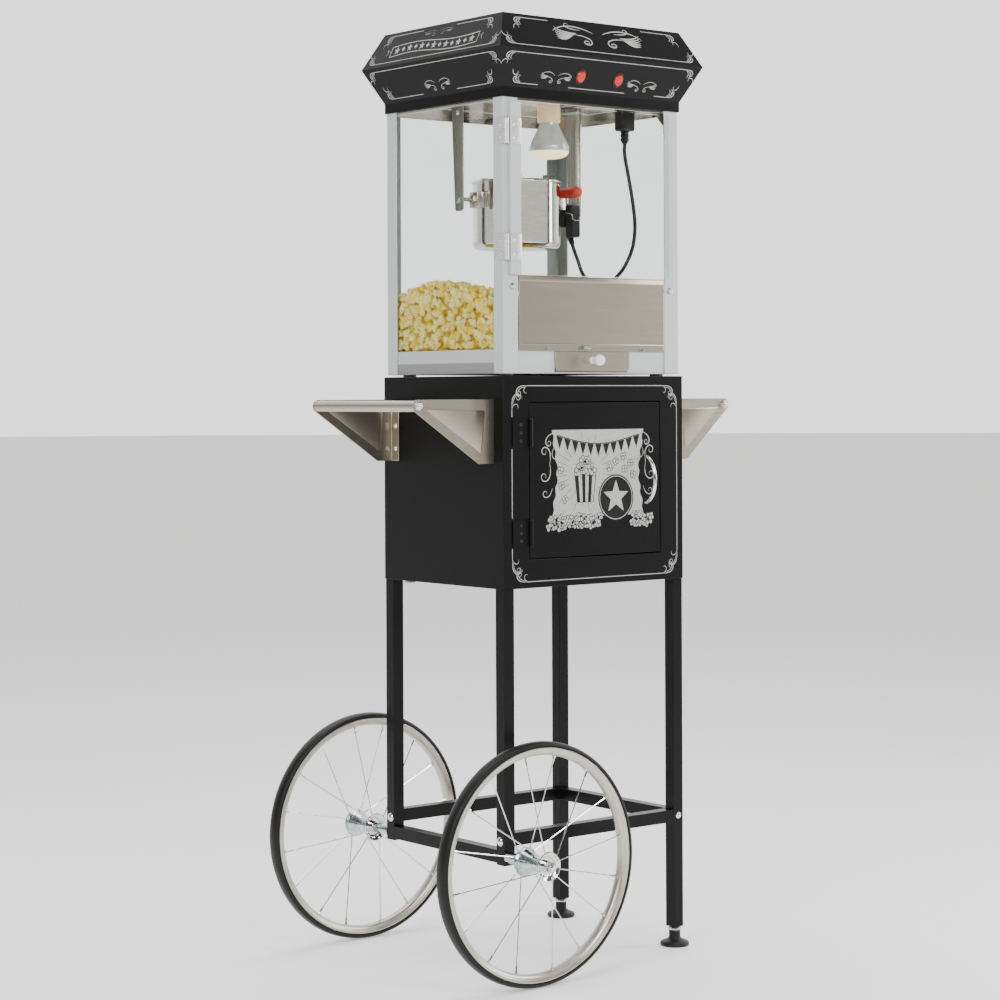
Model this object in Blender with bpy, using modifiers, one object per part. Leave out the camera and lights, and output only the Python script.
"""Popcorn cart: a glass popcorn machine on a black cabinet, with two wire wheels and two levelling feet.

Metres, +Z up, floor at Z = 0. The front, with the doors, faces -Y. The wheels are on the -X side.
Sizes are given from the middle of the cabinet. At the end everything is moved by CART_X, so that the
middle of the whole cart's box stands over the origin.
"""

import math

import bmesh
import bpy
from mathutils import Matrix, Vector

# ---------------------------------------------------------------- driving dimensions
GAP = 0.0003              # between two pieces that touch
RUN = 0.0005              # between a pin or shaft and its hole
SHEET = 0.002             # sheet metal
CART_X = 0.029

CAB_X, CAB_Y = 0.205, 0.1705     # half width and half depth of the cabinet
CAB_BOTTOM, CAB_TOP = 0.656, 1.017

LEG = 0.022               # square tube of the frame
LEG_X, LEG_Y = 0.193, 0.158
LEG_LEFT_BOTTOM, LEG_RIGHT_BOTTOM = 0.190, 0.034
CROSSBAR_Z = 0.233

WHEEL_R = 0.204
WHEEL_X, WHEEL_Y = -0.196, 0.245
TYRE_W, TYRE_SEAT_R = 0.026, 0.1955
RIM_W, RIM_INNER_R = 0.024, 0.181
HUB_HALF, FLANGE_AT, FLANGE_R = 0.0325, 0.030, 0.025
BARREL_R, SLEEVE_R = 0.0125, 0.0095
AXLE_R, COLLAR_R, AXLE_TIP = 0.0055, 0.010, 0.290
SPOKES, SPOKE_R, SPOKE_LEAN = 16, 0.0011, 12

DOOR_LEFT, DOOR_RIGHT, DOOR_LOW, DOOR_HIGH = -0.147, 0.150, 0.706, 0.971
DOOR_DEEP = 0.016
DOOR_ROOM = 0.002         # between the door and its doorway
CAB_HINGE_X, CAB_HINGE_Y, CAB_HINGE_R = -0.1475, -0.1745, 0.0036
CAB_HINGE_HEIGHTS = {"upper": (0.897, 0.943), "lower": (0.728, 0.771)}
PULL_X, PULL_LOW, PULL_HIGH, PULL_OUT, PULL_R = 0.114, 0.789, 0.880, 0.031, 0.0035

PLATE_Y, PLATE_TOP, PLATE_LOW, PLATE_FOOT_X = 0.146, 0.977, 0.868, 0.2385
NOSE_LEFT, NOSE_RIGHT, NOSE_R = 0.3655, 0.331, 0.011
FLANGE_W = 0.022
BAR_R = 0.0095

MACH_X, MACH_Y = 0.200, 0.166    # outer corners of the posts
POST_FRONT, POST_BACK = (0.0325, 0.026), (0.030, 0.028)
POST_LOW, POST_TOP = 1.0205, 1.5075
BASE_X, BASE_Y, DECK_Z = 0.1975, 0.1635, 1.062
GLASS_T = 0.0035
RAIL_LOW, CEILING_Z = 1.484, 1.508

# half width, half depth and height of the canopy's corners, from the skirt up
CANOPY_LINES = ((0.2025, 0.1685, 1.4885), (0.2025, 0.1685, 1.5058), (0.2312, 0.200, 1.5676),
                (0.2012, 0.1692, 1.6303))
SWITCH_XS = {"light": -0.0406, "heater": 0.0453}
SWITCH_UP = 0.43          # place of the switches on the lower front slope, as a share of its height
SWITCH_HALF_W, SWITCH_HALF_H = 0.009, 0.011

GLASS_HINGE_X, GLASS_HINGE_Y, GLASS_HINGE_R = -0.1955, -0.171, 0.0042
GLASS_DOOR_LOW, GLASS_DOOR_HIGH = 1.1885, 1.480
GLASS_HINGE_HEIGHTS = {"upper": (1.409, 1.4515), "lower": (1.2127, 1.256)}

FLAP_X, FLAP_LOW, FLAP_HIGH = 0.1655, 1.0592, 1.188
FLAP_AXIS_Y, FLAP_AXIS_Z = -0.1605, 1.168

DRAWER_LEFT, DRAWER_RIGHT, DRAWER_BACK = -0.084, 0.080, 0.090
DRAWER_LOW, DRAWER_HIGH = 1.0245, 1.057
DRAWER_FRONT = (-0.0863, 0.0825, 1.0248, 1.0585)
KNOB_X, KNOB_Z = -0.003, 1.044

KETTLE_Y, KETTLE_AXIS_Z = 0.045, 1.332
KETTLE_R, KETTLE_LOW, KETTLE_HIGH = 0.0783, 1.246, 1.368
LID_R, LID_T, BRIDGE_HALF = 0.0765, 0.0015, 0.0055
PIN_R = 0.004
HANGER_X = 0.131

LAMP_X, LAMP_Y, LAMP_LOW = -0.044, -0.100, 1.396

PLUG_X, PLUG_Y, PLUG_LOW = 0.150, -0.080, 1.437
CORD_R = 0.0035
SWEEP_R = 0.080           # everything on the kettle beside the lead turns inside this radius

# ---------------------------------------------------------------- scene, materials, helpers
for old in list(bpy.data.objects):
    bpy.data.objects.remove(old, do_unlink=True)

parts = bpy.data.collections.new("popcorn_cart")
cutters = bpy.data.collections.new("cutters")
bpy.context.scene.collection.children.link(parts)
bpy.context.scene.collection.children.link(cutters)

LOOKS = {  # name: colour, roughness, metallic, alpha
    "black_paint": ((0.012, 0.012, 0.013), 0.35, 0.0, 1.0),
    "grey_paint": ((0.62, 0.64, 0.64), 0.40, 0.2, 1.0),
    "brushed_steel": ((0.46, 0.43, 0.37), 0.38, 1.0, 1.0),
    "polished_steel": ((0.62, 0.58, 0.52), 0.10, 1.0, 1.0),
    "rim_alloy": ((0.62, 0.60, 0.55), 0.35, 0.9, 1.0),
    "chrome": ((0.80, 0.80, 0.80), 0.08, 1.0, 1.0),
    "rubber": ((0.015, 0.014, 0.014), 0.60, 0.0, 1.0),
    "glass": ((0.90, 0.94, 0.93), 0.02, 0.0, 0.2),
    "lamp_glass": ((0.80, 0.79, 0.74), 0.15, 0.0, 1.0),
    "black_plastic": ((0.02, 0.02, 0.02), 0.45, 0.0, 1.0),
    "red_plastic": ((0.70, 0.06, 0.03), 0.35, 0.0, 1.0),
    "popcorn": ((0.92, 0.76, 0.25), 0.80, 0.0, 1.0),
}

AXIS_TURN = {  # turns +Z onto the axis
    "X": Matrix.Rotation(math.pi / 2, 4, "Y"),
    "Y": Matrix.Rotation(-math.pi / 2, 4, "X"),
    "Z": Matrix.Identity(4),
}
STAND_XZ = (math.pi / 2, 0, 0)             # stands a flat outline up, seen from the front
STAND_YZ = (math.pi / 2, 0, math.pi / 2)   # stands a flat outline up, seen from the side


def look(name):
    """The material of that name, made the first time it is asked for."""
    found = bpy.data.materials.get(name)
    if found:
        return found
    colour, rough, metallic, alpha = LOOKS[name]
    made = bpy.data.materials.new(name)
    made.use_nodes = True
    shader = made.node_tree.nodes["Principled BSDF"]
    shader.inputs["Base Color"].default_value = (*colour, 1.0)
    shader.inputs["Roughness"].default_value = rough
    shader.inputs["Metallic"].default_value = metallic
    shader.inputs["Alpha"].default_value = alpha
    return made


def add_object(name, data, material, place=(0, 0, 0)):
    """Links an object. With no material it is a cutter."""
    made = bpy.data.objects.new(name, data)
    made.location = place
    if material:
        parts.objects.link(made)
        data.materials.append(look(material))
    else:
        cutters.objects.link(made)
        made.hide_render = True
        made.display_type = "WIRE"
    return made


def mesh_of(name, bm):
    """Turns a bmesh into a mesh of that name."""
    mesh = bpy.data.meshes.new(name)
    bm.to_mesh(mesh)
    bm.free()
    return mesh


def smooth(made, angle=40):
    """Shades a round piece smooth and keeps its sharp edges."""
    made.data.shade_smooth()
    made.data.set_sharp_from_angle(angle=math.radians(angle))
    return made


def box(name, low, high, material="", bevel=0.0):
    """A block between two corners. Its origin is its middle."""
    low, high = Vector(low), Vector(high)
    bm = bmesh.new()
    bmesh.ops.create_cube(bm, size=1.0)
    bmesh.ops.scale(bm, vec=high - low, verts=bm.verts)
    made = add_object(name, mesh_of(name, bm), material, (low + high) / 2)
    if bevel:
        edge = made.modifiers.new("edges", "BEVEL")
        edge.width = bevel
        edge.segments = 2
    return made


def cylinder(name, middle, axis, radius, length, material="", sides=24):
    """A cylinder along an axis, round its middle."""
    bm = bmesh.new()
    bmesh.ops.create_cone(bm, cap_ends=True, segments=sides, radius1=radius, radius2=radius, depth=length)
    bmesh.ops.transform(bm, matrix=AXIS_TURN[axis], verts=bm.verts)
    return smooth(add_object(name, mesh_of(name, bm), material, middle))


def turned(name, profile, place, axis, material, steps=32, ring=False):
    """A turned piece. The profile's points are (radius, height), down its outer side.

    A ring's profile is a closed loop: down the outer side, then up the bore.
    """
    bm = bmesh.new()
    points = [bm.verts.new((radius, 0.0, height)) for radius, height in profile]
    for a, b in zip(points, points[1:]):
        bm.edges.new((a, b))
    if ring:
        bm.edges.new((points[-1], points[0]))
    made = add_object(name, mesh_of(name, bm), material, place)
    made.rotation_euler = AXIS_TURN[axis].to_euler()
    screw = made.modifiers.new("turn", "SCREW")
    screw.steps = steps
    screw.render_steps = steps
    screw.use_merge_vertices = True
    screw.merge_threshold = 0.00005
    return made


def to_mesh(made):
    """Swaps a curve, or an object with modifiers, for a plain mesh of the same name and place."""
    name = made.name
    owner = made.users_collection[0]
    bpy.context.view_layer.update()
    seen = made.evaluated_get(bpy.context.evaluated_depsgraph_get())
    mesh = bpy.data.meshes.new_from_object(seen)
    bm = bmesh.new()
    bm.from_mesh(mesh)
    bmesh.ops.remove_doubles(bm, verts=bm.verts, dist=0.00002)
    bmesh.ops.recalc_face_normals(bm, faces=bm.faces)
    bm.to_mesh(mesh)
    bm.free()
    new = bpy.data.objects.new(name + "_mesh", mesh)
    new.matrix_world = made.matrix_world.copy()
    new.hide_render = made.hide_render
    new.display_type = made.display_type
    owner.objects.link(new)
    bpy.data.objects.remove(made, do_unlink=True)
    new.name = name
    return new


def outline(name, points, thickness, material, place, turn):
    """A flat plate cut to an outline, its thickness centred on its plane."""
    curve = bpy.data.curves.new(name, "CURVE")
    curve.dimensions = "2D"
    curve.fill_mode = "BOTH"
    curve.extrude = thickness / 2
    line = curve.splines.new("POLY")
    line.points.add(len(points) - 1)
    for point, (x, y) in zip(line.points, points):
        point.co = (x, y, 0.0, 1.0)
    line.use_cyclic_u = True
    made = add_object(name, curve, material, place)
    made.rotation_euler = turn
    return to_mesh(made)


def rod(name, points, radius, material, place=(0, 0, 0)):
    """A round rod or wire along points, with filled ends."""
    curve = bpy.data.curves.new(name, "CURVE")
    curve.dimensions = "3D"
    curve.bevel_depth = radius
    curve.bevel_resolution = 2
    curve.use_fill_caps = True
    line = curve.splines.new("POLY")
    line.points.add(len(points) - 1)
    for point, where in zip(line.points, points):
        point.co = (*where, 1.0)
    return add_object(name, curve, material, place)


def put_origin(made, place):
    """Moves an object's origin to a place and leaves its shape where it is."""
    made.data.transform(Matrix.Translation(-Vector(place)) @ made.matrix_basis)
    made.matrix_basis = Matrix.Translation(place)
    return made


def boolean(target, tool, operation="DIFFERENCE"):
    """Cuts the tool from the target, or joins it on."""
    step = target.modifiers.new(tool.name, "BOOLEAN")
    step.object = tool
    step.operation = operation
    step.solver = "EXACT"
    return target


def cut_box(target, label, low, high):
    """Cuts a block-shaped opening."""
    return boolean(target, box(f"{target.name}_{label}", low, high))


def cut_hole(target, label, middle, axis, radius, length, sides=24):
    """Drills a round hole."""
    return boolean(target, cylinder(f"{target.name}_{label}", middle, axis, radius, length, sides=sides))


def add_box(target, label, low, high):
    """Joins a block on."""
    return boolean(target, box(f"{target.name}_{label}", low, high), "UNION")


def add_pin(target, label, start, end, axis, radius, sides=16):
    """Joins a round pin on, between the middles of its ends."""
    start, end = Vector(start), Vector(end)
    pin = cylinder(f"{target.name}_{label}", (start + end) / 2, axis, radius, (end - start).length, sides=sides)
    return boolean(target, pin, "UNION")


def arc(centre, radius, start, end, count):
    """Points on an arc, from angle start to end in degrees."""
    turns = [math.radians(start + (end - start) * i / (count - 1)) for i in range(count)]
    return [(centre[0] + radius * math.cos(a), centre[1] + radius * math.sin(a)) for a in turns]


def both_ends(half):
    """A profile that is the same at both ends, from its upper half."""
    return half + [(radius, -height) for radius, height in reversed(half)]


def smooth_path(knots, count):
    """Evenly spread points on a smooth curve through the knots (Catmull-Rom)."""
    knots = [Vector(k) for k in knots]
    ends = [2 * knots[0] - knots[1]] + knots + [2 * knots[-1] - knots[-2]]
    fine = []
    for p0, p1, p2, p3 in zip(ends, ends[1:], ends[2:], ends[3:]):
        for i in range(20):
            t = i / 20
            fine.append(0.5 * (2 * p1 + (p2 - p0) * t + (2 * p0 - 5 * p1 + 4 * p2 - p3) * t * t
                               + (3 * p1 - p0 - 3 * p2 + p3) * t ** 3))
    fine.append(knots[-1])
    lengths = [0.0]
    for a, b in zip(fine, fine[1:]):
        lengths.append(lengths[-1] + (b - a).length)
    points = []
    place = 0
    for i in range(count):
        want = lengths[-1] * i / (count - 1)
        while place < len(fine) - 2 and lengths[place + 1] < want:
            place += 1
        share = (want - lengths[place]) / (lengths[place + 1] - lengths[place])
        points.append(fine[place].lerp(fine[place + 1], share))
    return points


# ---------------------------------------------------------------- frame: legs, crossbars, axle
def square_tube(name, axis, middle, length):
    """An open square tube along an axis: four walls, solidified inwards."""
    bm = bmesh.new()
    bmesh.ops.create_cube(bm, size=1.0)
    bmesh.ops.scale(bm, vec=(LEG, LEG, length), verts=bm.verts)
    caps = [face for face in bm.faces if abs(face.normal.z) > 0.5]
    bmesh.ops.delete(bm, geom=caps, context="FACES_ONLY")
    bmesh.ops.transform(bm, matrix=AXIS_TURN[axis], verts=bm.verts)
    made = add_object(name, mesh_of(name, bm), "black_paint", middle)
    wall = made.modifiers.new("wall", "SOLIDIFY")
    wall.thickness = SHEET
    wall.offset = -1.0
    wall.use_even_offset = True
    return made


def build_frame():
    """Four legs under the cabinet, three crossbars, and the beam that the axle runs through."""
    top = CAB_BOTTOM - GAP
    for side, x, low in (("left", -LEG_X, LEG_LEFT_BOTTOM), ("right", LEG_X, LEG_RIGHT_BOTTOM)):
        for end, y in (("front", -LEG_Y), ("rear", LEG_Y)):
            leg = square_tube(f"leg_{end}_{side}", "Z", (x, y, (low + top) / 2), top - low)
            if side == "left":
                cut_hole(leg, "axle_hole", (WHEEL_X, y, WHEEL_R), "Y", AXLE_R + 0.0004, LEG * 2)
    across = 2 * (LEG_X - LEG / 2 - GAP)
    along = 2 * (LEG_Y - LEG / 2 - GAP)
    square_tube("front_crossbar", "X", (0, -LEG_Y, CROSSBAR_Z), across)
    square_tube("rear_crossbar", "X", (0, LEG_Y, CROSSBAR_Z), across)
    square_tube("right_crossbar", "Y", (LEG_X, 0, CROSSBAR_Z), along)
    square_tube("axle_beam", "Y", (-LEG_X, 0, WHEEL_R), along)


def build_axle():
    """One rod through the beam, with a collar between each leg and wheel and a nut at each end."""
    leg_face = LEG_Y + LEG / 2 + GAP
    hub_in, hub_out = WHEEL_Y - HUB_HALF - GAP, WHEEL_Y + HUB_HALF + 0.0005
    half = [(0.0, AXLE_TIP), (0.0045, AXLE_TIP), (AXLE_R, AXLE_TIP - 0.001), (AXLE_R, hub_out + 0.010),
            (0.0095, hub_out + 0.010), (0.0095, hub_out), (AXLE_R, hub_out), (AXLE_R, hub_in),
            (COLLAR_R, hub_in), (COLLAR_R, leg_face), (AXLE_R, leg_face)]
    turned("axle", both_ends(half), (WHEEL_X, 0, WHEEL_R), "Y", "chrome", steps=20)


# ---------------------------------------------------------------- wheels and feet
def spoke(name, number, wheel_y):
    """One spoke, from a hub flange to just short of the rim. It leans away from the radius."""
    angle = math.radians(9 + 360 / SPOKES * number)
    lean = math.radians(SPOKE_LEAN if number % 4 < 2 else -SPOKE_LEAN)
    side = 1 if number % 2 else -1
    inner, outer = FLANGE_R - 0.004, RIM_INNER_R - 2 * GAP
    start = Vector((inner * math.cos(angle + lean), side * FLANGE_AT, inner * math.sin(angle + lean)))
    end = Vector((outer * math.cos(angle), side * 0.004, outer * math.sin(angle)))
    along = end - start
    turn = along.to_track_quat("Z", "Y").to_matrix().to_4x4()
    bm = bmesh.new()
    bmesh.ops.create_cone(bm, cap_ends=True, segments=6, radius1=SPOKE_R, radius2=SPOKE_R, depth=along.length)
    bmesh.ops.transform(bm, matrix=Matrix.Translation((start + end) / 2) @ turn, verts=bm.verts)
    return add_object(name, mesh_of(name, bm), "", (WHEEL_X, wheel_y, WHEEL_R))


def build_wheel(end, y):
    """A wheel: rubber tyre, alloy rim, a flanged hub with its spokes, and the sleeve that it turns on."""
    place = (WHEEL_X, y, WHEEL_R)
    r, seat, w = WHEEL_R, TYRE_SEAT_R, TYRE_W / 2
    tyre = [(r, 0.35 * w), (r, -0.35 * w), (r - 0.003, -0.80 * w), (seat, -w), (seat, w), (r - 0.003, 0.80 * w)]
    turned(f"{end}_tyre", tyre, place, "Y", "rubber", steps=64, ring=True)
    r, low, w = TYRE_SEAT_R - GAP, RIM_INNER_R, RIM_W / 2
    rim = [(r, w), (r, -w), (r - 0.006, -w), (low, -0.35 * w), (low, 0.35 * w), (r - 0.006, w)]
    turned(f"{end}_rim", rim, place, "Y", "rim_alloy", steps=64, ring=True)
    bore = AXLE_R + RUN + GAP
    sleeve = [(SLEEVE_R, HUB_HALF), (SLEEVE_R, -HUB_HALF), (bore, -HUB_HALF), (bore, HUB_HALF)]
    turned(f"{end}_hub", sleeve, place, "Y", "chrome", steps=24, ring=True)
    f, b, near, far = FLANGE_R, BARREL_R, FLANGE_AT - 0.0016, FLANGE_AT + 0.0014
    bore = SLEEVE_R + GAP
    shell = [(f, far), (f, near), (b, near - 0.004), (b, 0.004 - near), (f, -near), (f, -far), (bore, -far),
             (bore, far)]
    hub = to_mesh(turned(f"{end}_spokes", shell, place, "Y", "chrome", steps=24, ring=True))
    for number in range(SPOKES):
        boolean(hub, spoke(f"{end}_spoke_{number:02d}", number, y), "UNION")


def build_feet():
    """Screw-in levelling feet under the two right legs, each with its lock nut."""
    profile = [(0.0, 0.075), (0.004, 0.075), (0.004, 0.0285), (0.011, 0.0285), (0.011, 0.0235),
               (0.0085, 0.0235), (0.0085, 0.014), (0.015, 0.011), (0.023, 0.0085), (0.026, 0.006),
               (0.026, 0.001), (0.025, 0.0), (0.0, 0.0)]
    for end, y in (("front", -LEG_Y), ("rear", LEG_Y)):
        turned(f"{end}_foot", profile, (LEG_X, y, 0), "Z", "black_plastic", steps=28)


# ---------------------------------------------------------------- cabinet and side handles
def build_cabinet():
    """Sheet-metal cabinet with a doorway in its front."""
    shell = box("cabinet_shell", (-CAB_X, -CAB_Y, CAB_BOTTOM), (CAB_X, CAB_Y, CAB_TOP), "black_paint")
    cut_box(shell, "inside", (SHEET - CAB_X, SHEET - CAB_Y, CAB_BOTTOM + SHEET),
            (CAB_X - SHEET, CAB_Y - SHEET, CAB_TOP - SHEET))
    cut_box(shell, "doorway", (DOOR_LEFT - DOOR_ROOM, -CAB_Y - 0.01, DOOR_LOW - DOOR_ROOM),
            (DOOR_RIGHT + DOOR_ROOM, -CAB_Y + 0.01, DOOR_HIGH + DOOR_ROOM))


def build_cabinet_door():
    """Pan-shaped door with a bow pull, on two hinges that are fixed to the front of the cabinet."""
    face, wall = -CAB_Y, 0.0015
    door = box("cabinet_door", (DOOR_LEFT, face, DOOR_LOW), (DOOR_RIGHT, face + DOOR_DEEP, DOOR_HIGH), "black_paint")
    put_origin(door, (CAB_HINGE_X, CAB_HINGE_Y, (DOOR_LOW + DOOR_HIGH) / 2))
    cut_box(door, "inside", (DOOR_LEFT + wall, face + wall, DOOR_LOW + wall),
            (DOOR_RIGHT - wall, face + DOOR_DEEP + 0.01, DOOR_HIGH - wall))
    for label, (low, high) in CAB_HINGE_HEIGHTS.items():
        leaf = box(f"cabinet_hinge_{label}", (-0.1855, face - GAP - 0.0017, low), (CAB_HINGE_X, face - GAP, high),
                   "black_paint")
        add_pin(leaf, "barrel", (CAB_HINGE_X, CAB_HINGE_Y, low), (CAB_HINGE_X, CAB_HINGE_Y, high), "Z",
                CAB_HINGE_R)
    near, far = face - GAP, face - PULL_OUT + PULL_R
    half_height, steps = (PULL_HIGH - PULL_LOW) / 2 - PULL_R, 20
    turns = [math.pi * step / steps for step in range(steps + 1)]
    root = near - 0.0025
    bow = [(0, root + (far - root) * math.sin(turn), half_height * math.cos(turn)) for turn in turns]
    bow = [(0, near, half_height), *bow, (0, near, -half_height)]
    pull = rod("door_pull", bow, PULL_R, "chrome", (PULL_X, 0, (PULL_HIGH + PULL_LOW) / 2))
    put_origin(pull, (CAB_HINGE_X, CAB_HINGE_Y, (PULL_LOW + PULL_HIGH) / 2))


def handle_shape(nose_x):
    """Half-handle plate: level top, round nose, sloping lower edge tangent to it, level foot."""
    wall, nose_z = CAB_X + GAP, PLATE_TOP - NOSE_R
    run, rise = nose_x - PLATE_FOOT_X, nose_z - PLATE_LOW
    slope = math.degrees(math.atan2(rise, run) - math.asin(NOSE_R / math.hypot(run, rise)))
    return [(wall, PLATE_TOP), (wall, PLATE_LOW), (PLATE_FOOT_X, PLATE_LOW),
            *arc((nose_x, nose_z), NOSE_R, slope - 90, 90, 8)]


def build_side_handles():
    """On each side, two flanged plates and a bar across, held by a stud and an acorn nut at each end."""
    nose_z = PLATE_TOP - NOSE_R
    for side, sign, nose_x in (("left", -1, NOSE_LEFT), ("right", 1, NOSE_RIGHT)):
        shape = [(sign * x, z) for x, z in handle_shape(nose_x)]
        for end, way in (("front", -1), ("rear", 1)):
            name = f"{side}_bracket_{end}"
            plate = outline(name, shape, SHEET, "brushed_steel", (0, way * PLATE_Y, 0), STAND_XZ)
            xs = sorted((sign * (CAB_X + GAP), sign * (CAB_X + GAP + SHEET)))
            ys = sorted((way * (PLATE_Y + SHEET / 2), way * (PLATE_Y + SHEET / 2 - FLANGE_W)))
            add_box(plate, "flange", (xs[0], ys[0], PLATE_LOW), (xs[1], ys[1], PLATE_TOP - 0.012))
            cut_hole(plate, "stud_hole", (sign * nose_x, way * PLATE_Y, nose_z), "Y", 0.0045, 0.01, sides=16)
        inner, outer = PLATE_Y - SHEET / 2 - GAP, PLATE_Y + SHEET / 2 + GAP
        half = [(0.0, outer + 0.0097), (0.0045, outer + 0.0085), (0.0075, outer + 0.0037), (0.0075, outer),
                (0.004, outer), (0.004, inner), (BAR_R, inner)]
        turned(f"{side}_push_bar", both_ends(half), (sign * nose_x, 0, nose_z), "Y", "brushed_steel", steps=20)


# ---------------------------------------------------------------- machine body
def build_base():
    """The machine's base: a hollow deck on four rubber feet, with a pocket for the crumb drawer."""
    base = box("machine_base", (-BASE_X, -BASE_Y, POST_LOW), (BASE_X, BASE_Y, DECK_Z), "grey_paint")
    cut_box(base, "inside", (SHEET - BASE_X, SHEET - BASE_Y, POST_LOW + SHEET),
            (BASE_X - SHEET, BASE_Y - SHEET, DECK_Z - SHEET))
    cut_box(base, "drawer_mouth", (DRAWER_LEFT - 0.0015, -BASE_Y - 0.01, DRAWER_LOW - 0.001),
            (DRAWER_RIGHT + 0.0015, -BASE_Y + 0.01, DRAWER_HIGH + 0.001))
    for number, y in enumerate((-0.115, -0.085, -0.055)):
        cut_box(base, f"crumb_slot_{number}", (-0.060, y - 0.005, DECK_Z - 0.01), (0.060, y + 0.005, DECK_Z + 0.01))
    foot_low = CAB_TOP + GAP
    for number, (sx, sy) in enumerate(((-1, -1), (1, -1), (1, 1), (-1, 1))):
        x, y = sx * 0.172, sy * 0.138
        add_pin(base, f"foot_{number}", (x, y, foot_low), (x, y, POST_LOW + SHEET / 2), "Z", 0.012)


def build_posts():
    """Four L-shaped corner posts."""
    for end, sy, (wide, deep) in (("front", -1, POST_FRONT), ("rear", 1, POST_BACK)):
        for side, sx in (("left", -1), ("right", 1)):
            shape = [(0, 0), (wide, 0), (wide, SHEET), (SHEET, SHEET), (SHEET, deep), (0, deep)]
            shape = [(-sx * x, -sy * y) for x, y in shape]
            outline(f"{end}_{side}_post", shape, POST_TOP - POST_LOW, "grey_paint",
                    (sx * MACH_X, sy * MACH_Y, (POST_TOP + POST_LOW) / 2), (0, 0, 0))


def build_ceiling():
    """The ceiling: an inverted steel tray whose edges hang down over the panes as rails."""
    tray = box("ceiling_plate", (-BASE_X, -BASE_Y, RAIL_LOW), (BASE_X, BASE_Y, CEILING_Z), "polished_steel")
    cut_box(tray, "inside", (SHEET - BASE_X, SHEET - BASE_Y, RAIL_LOW - 0.01),
            (BASE_X - SHEET, BASE_Y - SHEET, CEILING_Z - SHEET))


def build_canopy():
    """Lantern-shaped top: a rectangle drawn down over the widest line to the skirt, as a thin shell."""
    *lower, (x, y, z) = CANOPY_LINES
    bm = bmesh.new()
    bmesh.ops.create_grid(bm, x_segments=1, y_segments=1, size=1.0)
    bmesh.ops.scale(bm, vec=(x, y, 1), verts=bm.verts)
    bmesh.ops.translate(bm, vec=(0, 0, z), verts=bm.verts)
    rim = list(bm.edges)
    for x, y, z in reversed(lower):
        grown = bmesh.ops.extrude_edge_only(bm, edges=rim)["geom"]
        rim = [g for g in grown if isinstance(g, bmesh.types.BMEdge)]
        for vert in [g for g in grown if isinstance(g, bmesh.types.BMVert)]:
            vert.co = (math.copysign(x, vert.co.x), math.copysign(y, vert.co.y), z)
    bmesh.ops.recalc_face_normals(bm, faces=bm.faces)
    if max(bm.faces, key=lambda face: face.calc_center_median().z).normal.z < 0:
        bmesh.ops.reverse_faces(bm, faces=bm.faces)
    canopy = add_object("canopy", mesh_of("canopy", bm), "black_paint")
    wall = canopy.modifiers.new("wall", "SOLIDIFY")
    wall.thickness = SHEET
    wall.offset = -1.0
    wall.use_even_offset = True
    for label, x in SWITCH_XS.items():
        boolean(canopy, rocker(f"canopy_hole_{label}", x, 0.0010, 0.0016, 0.02))


def rocker(name, x, more_w, more_h, thickness, material=""):
    """An oval block square to the lower front slope, at a switch's place."""
    (_, y0, z0), (_, y1, z1) = CANOPY_LINES[1:3]
    bm = bmesh.new()
    bmesh.ops.create_cone(bm, cap_ends=True, segments=28, radius1=1.0, radius2=1.0, depth=thickness)
    bmesh.ops.scale(bm, vec=(SWITCH_HALF_W + more_w, SWITCH_HALF_H + more_h, 1), verts=bm.verts)
    place = (x, -(y0 + (y1 - y0) * SWITCH_UP), z0 + (z1 - z0) * SWITCH_UP)
    made = add_object(name, mesh_of(name, bm), material, place)
    made.rotation_euler = (math.atan2(z1 - z0, y0 - y1), 0, 0)
    return smooth(made)


def build_switches():
    """Two rocker switches in the lower front slope, standing a little proud."""
    for label, x in SWITCH_XS.items():
        rocker(f"{label}_switch", x, 0.0, 0.0, 0.009, "red_plastic")


def build_glass():
    """Fixed panes at the left, right and back."""
    low, high = DECK_Z + 0.0005, RAIL_LOW - GAP
    inner_y = BASE_Y - GLASS_T
    for side, sign in (("left", -1), ("right", 1)):
        a, b = sorted((sign * BASE_X, sign * (BASE_X - GLASS_T)))
        box(f"{side}_glass", (a, -0.1600, low), (b, inner_y - GAP, high), "glass")
    box("back_glass", (-BASE_X, inner_y, low), (BASE_X, BASE_Y, high), "glass")


def build_glass_door():
    """The glass door: a pane held along one edge by a stile, on two wrap-round hinges."""
    axis_x, axis_y = GLASS_HINGE_X, GLASS_HINGE_Y
    low, high = GLASS_DOOR_LOW, GLASS_DOOR_HIGH
    middle = (axis_x, axis_y, (low + high) / 2)
    stile = box("door_stile", (-0.189, -0.1745, low), (-0.1667, -0.1668, high), "grey_paint")
    pane = box("door_glass", (-0.1664, -0.1725, low), (0.172, -0.1685, high), "glass")
    put_origin(stile, middle)
    put_origin(pane, middle)
    side = -MACH_X - GAP
    for label, (z0, z1) in GLASS_HINGE_HEIGHTS.items():
        add_box(stile, f"leaf_{label}", (axis_x + 0.0047, -0.1762, z0), (-0.1672, -0.1740, z1))
        leaf = box(f"door_hinge_{label}", (side - 0.0015, -0.172, z0), (side, -0.150, z1), "chrome")
        add_box(leaf, "arm", (side - 0.0012, axis_y - 0.0005, z0), (axis_x, axis_y + 0.0015, z1))
        add_pin(leaf, "barrel", (axis_x, axis_y, z0), (axis_x, axis_y, z1), "Z", GLASS_HINGE_R)


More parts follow.
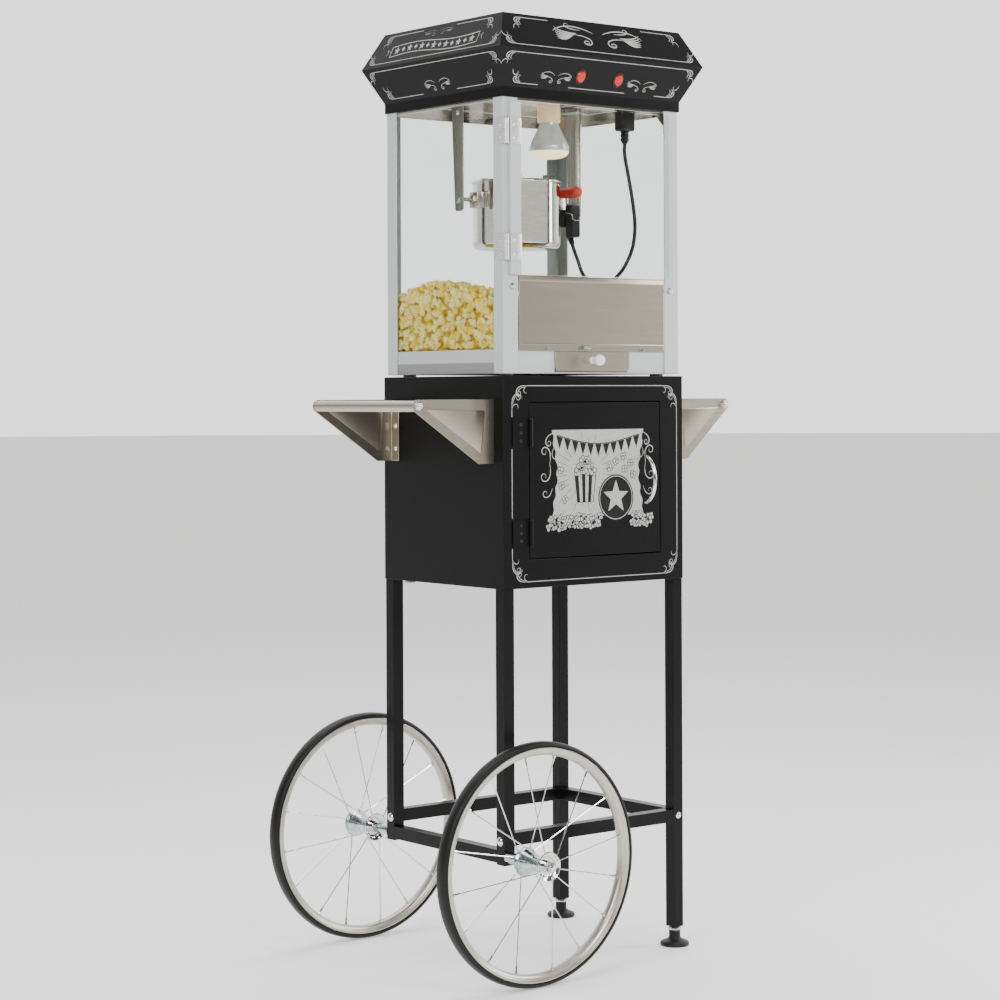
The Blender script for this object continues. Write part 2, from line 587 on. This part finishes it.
def build_flap():
    """Stainless serving flap between the front posts, hung on two pins near its top."""
    flap = box("serving_flap", (-FLAP_X, -0.166, FLAP_LOW), (FLAP_X, -0.164, FLAP_HIGH), "brushed_steel")
    put_origin(flap, (0, FLAP_AXIS_Y, FLAP_AXIS_Z))
    add_box(flap, "top_fold", (-FLAP_X, -0.166, FLAP_HIGH - SHEET), (FLAP_X, -0.156, FLAP_HIGH))
    for side, sign in (("left", -1), ("right", 1)):
        a, b = sorted((sign * (FLAP_X - SHEET), sign * FLAP_X))
        add_box(flap, f"ear_{side}", (a, -0.165, FLAP_AXIS_Z - 0.008), (b, -0.156, FLAP_HIGH))
        add_pin(flap, f"pin_{side}", (sign * (FLAP_X - SHEET / 2), FLAP_AXIS_Y, FLAP_AXIS_Z),
                (sign * 0.190, FLAP_AXIS_Y, FLAP_AXIS_Z), "X", 0.0025, sides=12)


def build_drawer():
    """Shallow crumb drawer: an open tray, a front with clipped lower corners, and a turned knob."""
    wall, front = 0.0015, -BASE_Y
    tray = box("crumb_drawer", (DRAWER_LEFT, front - 0.001, DRAWER_LOW), (DRAWER_RIGHT, DRAWER_BACK, DRAWER_HIGH),
               "brushed_steel")
    cut_box(tray, "inside", (DRAWER_LEFT + wall, front + wall, DRAWER_LOW + wall),
            (DRAWER_RIGHT - wall, DRAWER_BACK - wall, DRAWER_HIGH + 0.01))
    left, right, low, high = DRAWER_FRONT
    clip, plate_y = 0.006, -0.16525
    shape = [(left, high), (left, low + clip), (left + clip, low), (right - clip, low), (right, low + clip),
             (right, high)]
    plate = outline("crumb_drawer_front", shape, 0.0025, "", (0, plate_y, 0), STAND_XZ)
    boolean(tray, plate, "UNION")
    knob = [(0.0, 0.0275), (0.005, 0.0262), (0.0085, 0.0225), (0.0095, 0.0185), (0.0082, 0.0140), (0.005, 0.0100),
            (0.0042, 0.004), (0.006, -0.0005), (0.0, -0.0005)]
    knob = turned("crumb_drawer_knob", knob, (KNOB_X, -0.1665, KNOB_Z), "Z", "", steps=20)
    knob.rotation_euler = (math.pi / 2, 0, 0)
    boolean(tray, knob, "UNION")


# ---------------------------------------------------------------- kettle
def build_pot():
    """Kettle pot with its rim, an ear and a pivot pin on each side, and the bar across its mouth."""
    r, low, high, axis_z = KETTLE_R, KETTLE_LOW, KETTLE_HIGH, KETTLE_AXIS_Z
    profile = [(0.0, high), (r + 0.002, high), (r + 0.0027, high - 0.002), (r + 0.002, high - 0.004),
               (r, high - 0.006), (r, low + 0.010), (r - 0.003, low + 0.004), (r - 0.010, low), (0.0, low)]
    pot = to_mesh(turned("kettle_pot", profile, (0, KETTLE_Y, 0), "Z", "polished_steel", steps=40))
    put_origin(pot, (0, KETTLE_Y, axis_z))
    bowl = [(0.0, high + 0.01), (r - 0.003, high + 0.01), (r - 0.003, low + 0.018), (r - 0.006, low + 0.014),
            (r - 0.012, low + 0.012), (0.0, low + 0.012)]
    boolean(pot, turned("kettle_pot_bowl", bowl, (0, KETTLE_Y, 0), "Z", "", steps=40))
    for side, sign, ear_out, ear_top in (("left", -1, 0.098, 0.014), ("right", 1, 0.106, 0.029)):
        a, b = sorted((sign * (r - 0.001), sign * ear_out))
        add_box(pot, f"ear_{side}", (a, KETTLE_Y - 0.012, axis_z - 0.014), (b, KETTLE_Y + 0.012, axis_z + ear_top))
        add_pin(pot, f"pin_{side}", (sign * 0.090, KETTLE_Y, axis_z), (sign * 0.137, KETTLE_Y, axis_z), "X", PIN_R)
    add_box(pot, "inlet", (0.092, 0.0229, 1.290), (0.1055, KETTLE_Y - 0.008, axis_z - 0.010))
    half = BRIDGE_HALF
    add_box(pot, "bridge", (0.001 - r, KETTLE_Y - half, high - 0.0015), (r - 0.001, KETTLE_Y + half, high + 0.0035))
    cut_hole(pot, "shaft_hole", (0, KETTLE_Y, high), "Z", 0.0036, 0.03, sides=16)


def lid(name, start, sign):
    """One half of the lid: a half-disc that hinges on its upper edge along the bar, with a lifting tab."""
    z = KETTLE_HIGH + GAP + LID_T / 2
    flat = math.degrees(math.asin((BRIDGE_HALF + 2 * GAP) / LID_R))
    shape = arc((0, KETTLE_Y), LID_R, start + flat, start + 180 - flat, 17)
    plate = outline(name, shape, LID_T, "polished_steel", (0, 0, z), (0, 0, 0))
    put_origin(plate, (0, KETTLE_Y + sign * (BRIDGE_HALF + GAP), z + LID_T / 2))
    tab = sorted((KETTLE_Y + sign * 0.052, KETTLE_Y + sign * 0.068))
    add_box(plate, "tab", (0.018, tab[0], z), (0.034, tab[1], z + 0.009))


def build_lids():
    """The two halves of the lid, each hinged along the bar."""
    lid("kettle_lid_front", 180, -1)
    lid("kettle_lid_rear", 0, 1)


def build_grip():
    """Red dump handle on the right ear: round, fatter at its end."""
    grip = [(0.0, 0.0578), (0.005, 0.0570), (0.0090, 0.0540), (0.011, 0.0480), (0.0108, 0.038), (0.0095, 0.010),
            (0.0095, 0.0), (0.0, 0.0)]
    grip = turned("kettle_handle", grip, (0, 0, 0), "Z", "red_plastic", steps=20)
    grip.rotation_euler = (math.pi / 2, 0, 0)
    grip.location = (0.0905, KETTLE_Y - 0.012 - GAP, 1.351)
    put_origin(to_mesh(grip), (0, KETTLE_Y, KETTLE_AXIS_Z))


def cord_end():
    """Middle of the connector's boot end, and the way that the lead leaves it: straight from the pivot."""
    way = Vector((0.0, -0.40, -0.9165)).normalized()
    pivot = Vector((0.104, KETTLE_Y, KETTLE_AXIS_Z))
    return pivot + way * SWEEP_R, way


def build_connector():
    """Appliance connector under the right ear, with a boot that points away from the kettle's pivot."""
    block = box("kettle_connector", (0.0945, 0.001, 1.2705), (0.114, 0.0225, 1.3295), "black_plastic", bevel=0.003)
    put_origin(block, (0, KETTLE_Y, KETTLE_AXIS_Z))
    end, way = cord_end()
    start = end - way * 0.014
    bm = bmesh.new()
    bmesh.ops.create_cone(bm, cap_ends=True, segments=16, radius1=0.0062, radius2=0.0046, depth=0.014)
    turn = way.to_track_quat("Z", "X").to_matrix().to_4x4()
    bmesh.ops.transform(bm, matrix=Matrix.Translation((start + end) / 2) @ turn, verts=bm.verts)
    boolean(block, add_object("kettle_connector_boot", mesh_of("kettle_connector_boot", bm), ""), "UNION")


def build_agitator():
    """Stirrer: a shaft up through the bar, with a cap nut, and two bent wire arms over the floor."""
    low, high = KETTLE_LOW + 0.0135, KETTLE_HIGH
    profile = [(0.0, high + 0.012), (0.004, high + 0.010), (0.005, high + 0.0045), (0.003, high + 0.0045),
               (0.003, low + 0.010), (0.006, low + 0.008), (0.006, low), (0.0, low)]
    shaft = to_mesh(turned("agitator", profile, (0, KETTLE_Y, 0), "Z", "polished_steel", steps=16))
    for label, sign in (("a", 1), ("b", -1)):
        points = [(0, 0, low + 0.004), (sign * 0.030, sign * 0.006, low + 0.004),
                  (sign * 0.060, sign * 0.018, low + 0.004)]
        arm = to_mesh(rod(f"agitator_arm_{label}", points, 0.0022, "", (0, KETTLE_Y, 0)))
        boolean(shaft, arm, "UNION")


def build_hangers():
    """The two plates that hang from the ceiling and carry the kettle's pins."""
    top = CEILING_Z - SHEET - 0.0005
    shape = [(0.030, top), (0.030, 1.314), (0.034, 1.310), (0.050, 1.310), (0.054, 1.314), (0.064, top)]
    for side, sign in (("left", -1), ("right", 1)):
        x = sign * HANGER_X
        plate = outline(f"{side}_hanger", shape, SHEET, "brushed_steel", (x, 0, 0), STAND_YZ)
        cut_hole(plate, "pin_hole", (x, KETTLE_Y, KETTLE_AXIS_Z), "X", PIN_R + 0.0006, 0.02, sides=16)
        if side == "right":
            add_pin(plate, "rod", (x, 0.0255, 1.312), (x, 0.0255, top), "Z", 0.0055)


def build_lamp():
    """Reflector lamp with its holder, under the ceiling."""
    top, low = CEILING_Z - SHEET - 0.0005, LAMP_LOW
    profile = [(0.0, top), (0.0235, top), (0.0235, top - 0.004), (0.0200, top - 0.006), (0.0200, 1.458),
               (0.0225, 1.446), (0.0285, 1.432), (0.0335, 1.421), (0.0350, 1.415), (0.0338, low + 0.010),
               (0.0275, low + 0.0045), (0.0170, low + 0.0012), (0.0, low)]
    turned("lamp_bulb", profile, (LAMP_X, LAMP_Y, 0), "Z", "lamp_glass", steps=28)


# ---------------------------------------------------------------- kettle lead and popcorn
CORD_KNOTS = (
    (PLUG_X, PLUG_Y, PLUG_LOW - GAP), (PLUG_X, PLUG_Y, 1.415), (0.160, -0.080, 1.372), (0.171, -0.078, 1.329),
    (0.181, -0.072, 1.2875), (0.1825, -0.064, 1.2525), (0.1766, -0.056, 1.2268), (0.163, -0.047, 1.202),
    (0.1335, -0.028, 1.173), (0.112, -0.010, 1.200), (0.105, -0.001, 1.229),
)


def build_lead():
    """The kettle's plug in the ceiling socket, and its lead, which hangs in a loop to the connector."""
    top = CEILING_Z - SHEET - 0.0005
    plug = box("lead_plug", (PLUG_X - 0.015, PLUG_Y - 0.012, 1.459), (PLUG_X + 0.015, PLUG_Y + 0.012, top),
               "black_plastic", bevel=0.003)
    relief = [(0.0, 1.461), (0.008, 1.461), (0.008, 1.456), (0.0062, 1.4545), (0.008, 1.453), (0.008, 1.449),
              (0.0062, 1.4475), (0.008, 1.446), (0.008, 1.442), (0.0062, 1.4405), (0.0055, PLUG_LOW),
              (0.0, PLUG_LOW)]
    boolean(plug, turned("lead_plug_relief", relief, (PLUG_X, PLUG_Y, 0), "Z", "", steps=20), "UNION")
    end, way = cord_end()
    knots = [*CORD_KNOTS, end + way * 0.012, end + way * 2 * GAP]
    rod("kettle_lead", smooth_path(knots, 34), CORD_R, "black_plastic")


def build_popcorn():
    """The heap of popcorn against the left pane: a coarse cage, rounded by subdivision."""
    x0, x1, y0, y1 = -0.1935, 0.085, -0.150, 0.1595
    low = DECK_Z + 0.0005
    bm = bmesh.new()
    bmesh.ops.create_cube(bm, size=1.0)
    bmesh.ops.subdivide_edges(bm, edges=bm.edges, cuts=4, use_grid_fill=True)
    for vert in bm.verts:
        u, v, up = vert.co.x + 0.5, vert.co.y + 0.5, vert.co.z + 0.5
        crest = 0.086 + 0.036 * math.sin(math.pi * min(v * 0.86, 1.0)) ** 1.3 - 0.080 * u ** 1.7
        vert.co = (x0 + (x1 - x0) * u, y0 + (y1 - y0) * v, low + up * crest)
    heap = add_object("popcorn_heap", mesh_of("popcorn_heap", bm), "popcorn")
    rounder = heap.modifiers.new("round", "SUBSURF")
    rounder.levels = 1
    rounder.render_levels = 1


def centre_cart():
    """Hangs everything on one empty, which moves the cart's middle over the origin."""
    centre = bpy.data.objects.new("cart_centre", None)
    parts.objects.link(centre)
    for made in [*parts.objects, *cutters.objects]:
        if made is not centre:
            made.parent = centre
    centre.location = (CART_X, 0, 0)


build_frame()
build_axle()
build_wheel("front", -WHEEL_Y)
build_wheel("rear", WHEEL_Y)
build_feet()
build_cabinet()
build_cabinet_door()
build_side_handles()
build_base()
build_posts()
build_ceiling()
build_canopy()
build_switches()
build_glass()
build_glass_door()
build_flap()
build_drawer()
build_pot()
build_lids()
build_grip()
build_connector()
build_agitator()
build_hangers()
build_lamp()
build_lead()
build_popcorn()
centre_cart()
